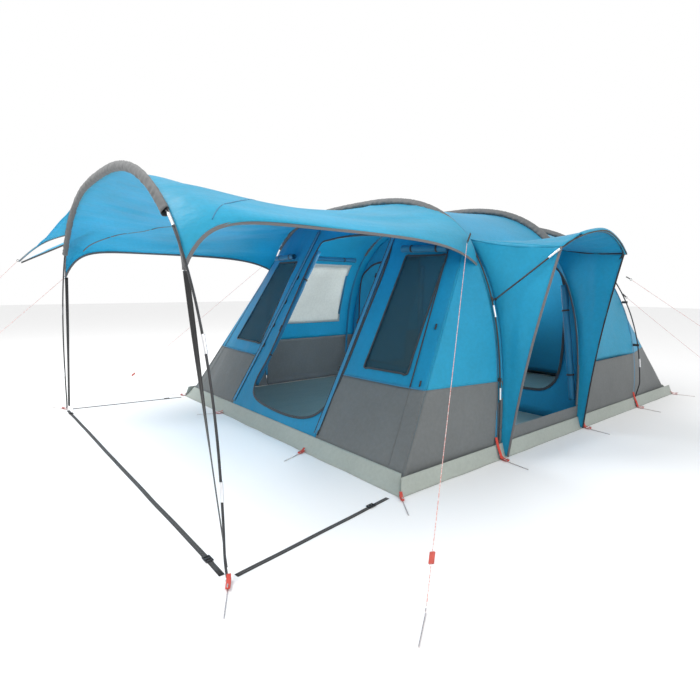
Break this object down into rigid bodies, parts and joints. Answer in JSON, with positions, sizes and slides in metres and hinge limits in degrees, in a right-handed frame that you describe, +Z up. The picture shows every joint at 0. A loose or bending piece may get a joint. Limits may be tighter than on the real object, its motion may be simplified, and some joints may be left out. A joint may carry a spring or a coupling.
{
  "type": "tunnel tent",
  "caption": "Blue and grey tunnel tent on bent poles with a guyed porch canopy, a hooped side awning, a sloping windowed front, a divided bedroom, mud flaps, pegs and guy lines.",
  "frame": {"origin": "on the ground, under the middle of the tent without its guy lines", "axes": "+X towards the side with the awning door, +Y from the canopy to the rear, +Z up"},
  "size_m": [5.7565, 8.0055, 1.9264],
  "materials": {
    "fibreglass": "satin",
    "silver": "satin",
    "steel_wire": "satin",
    "black_plastic": "matte",
    "red_plastic": "matte",
    "black_webbing": "matte",
    "red_webbing": "matte",
    "guy_cord": "matte",
    "grey_cloth": "matte",
    "sleeve_cloth": "matte",
    "sky_cloth": "satin",
    "blue_cloth": "satin",
    "flap_cloth": "matte",
    "floor_cloth": "matte",
    "inner_cloth": "matte",
    "mesh_cloth": "matte",
    "window_film": "satin"
  },
  "bodies": {
    "tent": {"awning_hood": "sky_cloth", "awning_hubs": "black_plastic", "awning_wings": "sky_cloth", "base_pegs": "steel_wire", "bedroom_cell": "inner_cloth", "bedroom_divider": "inner_cloth", "bedroom_roof": "sky_cloth", "canopy_roof": "sky_cloth", "door_rolls": "blue_cloth", "far_bands": "grey_cloth", "foot_pins": "steel_wire", "front_bands": "grey_cloth", "front_door_panel": "blue_cloth", "front_far_panel": "blue_cloth", "front_near_panel": "blue_cloth", "ground_straps": "black_webbing", "groundsheet": "floor_cloth", "guy_far": "guy_cord", "guy_near": "guy_cord", "guy_pegs": "steel_wire", "guy_rear_back": "guy_cord", "guy_rear_side": "guy_cord", "guy_rings": "black_plastic", "guy_tail": "guy_cord", "guy_wing": "guy_cord", "hoop_ferrules": "silver", "hoop_one_pole": "fibreglass", "hoop_sleeves": "sleeve_cloth", "hoop_three_pole": "fibreglass", "hoop_two_pole": "fibreglass", "living_roof": "sky_cloth", "mud_flaps": "flap_cloth", "near_bands": "grey_cloth", "peg_loops": "red_webbing", "pole_clips": "black_webbing", "porch_sides": "sky_cloth", "rear_band": "grey_cloth", "rear_sides": "sky_cloth", "rear_wall": "sky_cloth", "side_window_pane": "window_film", "strap_buckles": "black_plastic", "toggles": "black_plastic", "window_cover_rolls": "blue_cloth", "window_meshes": "mesh_cloth"},
    "canopy_hoop": {"canopy_pole": "fibreglass", "canopy_ferrules": "silver", "canopy_sleeve": "sleeve_cloth", "canopy_wing": "sky_cloth", "canopy_ties": "black_webbing", "canopy_guy_rings": "black_plastic"},
    "awning_frame": {"awning_pole": "fibreglass", "awning_ferrules": "silver"},
    "front_zip": {"front_zip_slider": "black_plastic"},
    "side_zip": {"side_zip_slider": "black_plastic"},
    "runner_near": {"runner_near": "red_plastic"},
    "runner_far": {"runner_far": "red_plastic"},
    "runner_rear_side": {"runner_rear_side": "red_plastic"},
    "runner_rear_back": {"runner_rear_back": "red_plastic"},
    "runner_wing": {"runner_wing": "red_plastic"},
    "runner_tail": {"runner_tail": "red_plastic"}
  },
  "joints": [
    {"name": "canopy_lean", "type": "hinge", "parent": "tent", "child": "canopy_hoop", "pos_m": [0, -2.585, 0.0125], "axis": [1, 0, 0], "range_deg": [-12, 0], "deforming": ["canopy_roof", "guy_wing", "guy_tail"]},
    {"name": "awning_fold", "type": "hinge", "parent": "tent", "child": "awning_frame", "pos_m": [1.494, 0.055, 1.08], "axis": [0, 1, 0], "range_deg": [0, 12], "deforming": ["awning_hood", "awning_wings"]},
    {"name": "front_zip_slide", "type": "slide", "parent": "tent", "child": "front_zip", "axis": [0.0494, 0.4475, 0.8929], "range_m": [0, 0.55]},
    {"name": "side_zip_slide", "type": "slide", "parent": "tent", "child": "side_zip", "axis": [-0.0904, 0, 0.9959], "range_m": [0, 0.5]},
    {"name": "runner_near_slide", "type": "slide", "parent": "tent", "child": "runner_near", "axis": [-0.437, 0.645, 0.627], "range_m": [0, 0.25]},
    {"name": "runner_far_slide", "type": "slide", "parent": "tent", "child": "runner_far", "axis": [0.5447, 0.5653, 0.6195], "range_m": [0, 0.25]},
    {"name": "runner_rear_side_slide", "type": "slide", "parent": "tent", "child": "runner_rear_side", "axis": [-0.5893, -0.6041, 0.5365], "range_m": [0, 0.25]},
    {"name": "runner_rear_back_slide", "type": "slide", "parent": "tent", "child": "runner_rear_back", "axis": [-0.2826, -0.8314, 0.4785], "range_m": [0, 0.25]},
    {"name": "runner_wing_slide", "type": "slide", "parent": "tent", "child": "runner_wing", "axis": [0.4259, 0.6092, 0.669], "range_m": [0, 0.25]},
    {"name": "runner_tail_slide", "type": "slide", "parent": "tent", "child": "runner_tail", "axis": [0.4196, 0.6474, 0.6363], "range_m": [0, 0.25]}
  ]
}
